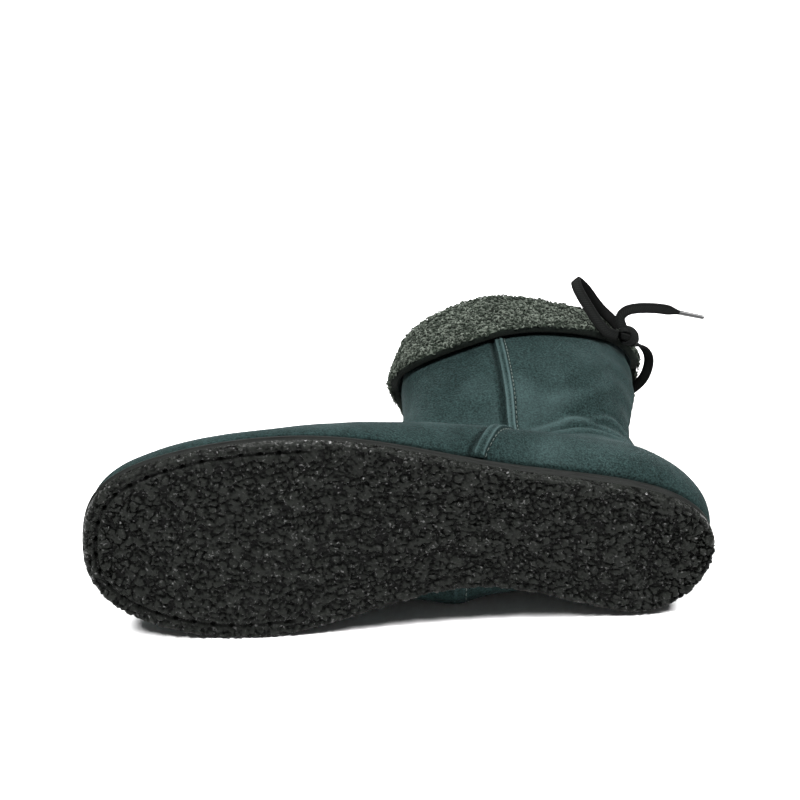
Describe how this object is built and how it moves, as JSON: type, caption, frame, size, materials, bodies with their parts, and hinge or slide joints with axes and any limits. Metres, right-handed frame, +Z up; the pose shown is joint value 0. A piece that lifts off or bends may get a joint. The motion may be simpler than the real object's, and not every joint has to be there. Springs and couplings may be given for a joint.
{
  "type": "suede boot",
  "caption": "Short pull-on suede boot with a crinkled crepe rubber sole, raised side seams and a turned-down fleece cuff tied at the back with a flat black lace, lying on its inner side.",
  "frame": {"origin": "centre of the boot's box on the floor that it lies on", "axes": "+X from toe to heel, +Y from sole to collar, +Z up from the floor, towards the boot's outer side"},
  "size_m": [0.2858, 0.162, 0.0946],
  "materials": {
    "crepe": "crinkled, slightly glossy",
    "midsole": "smooth matte",
    "footbed": "felted",
    "suede": "napped suede",
    "fleece": "curly pile",
    "lace": "flat braid",
    "lace_tip": "glossy"
  },
  "bodies": {
    "root": {"outsole": "crepe", "midsole": "midsole", "insole": "footbed", "upper": "suede", "cuff": "fleece", "lace_bar": "lace", "lace_knot": "lace", "lace_loop": "lace", "lace_end": "lace", "lace_tip": "lace_tip"}
  },
  "joints": []
}
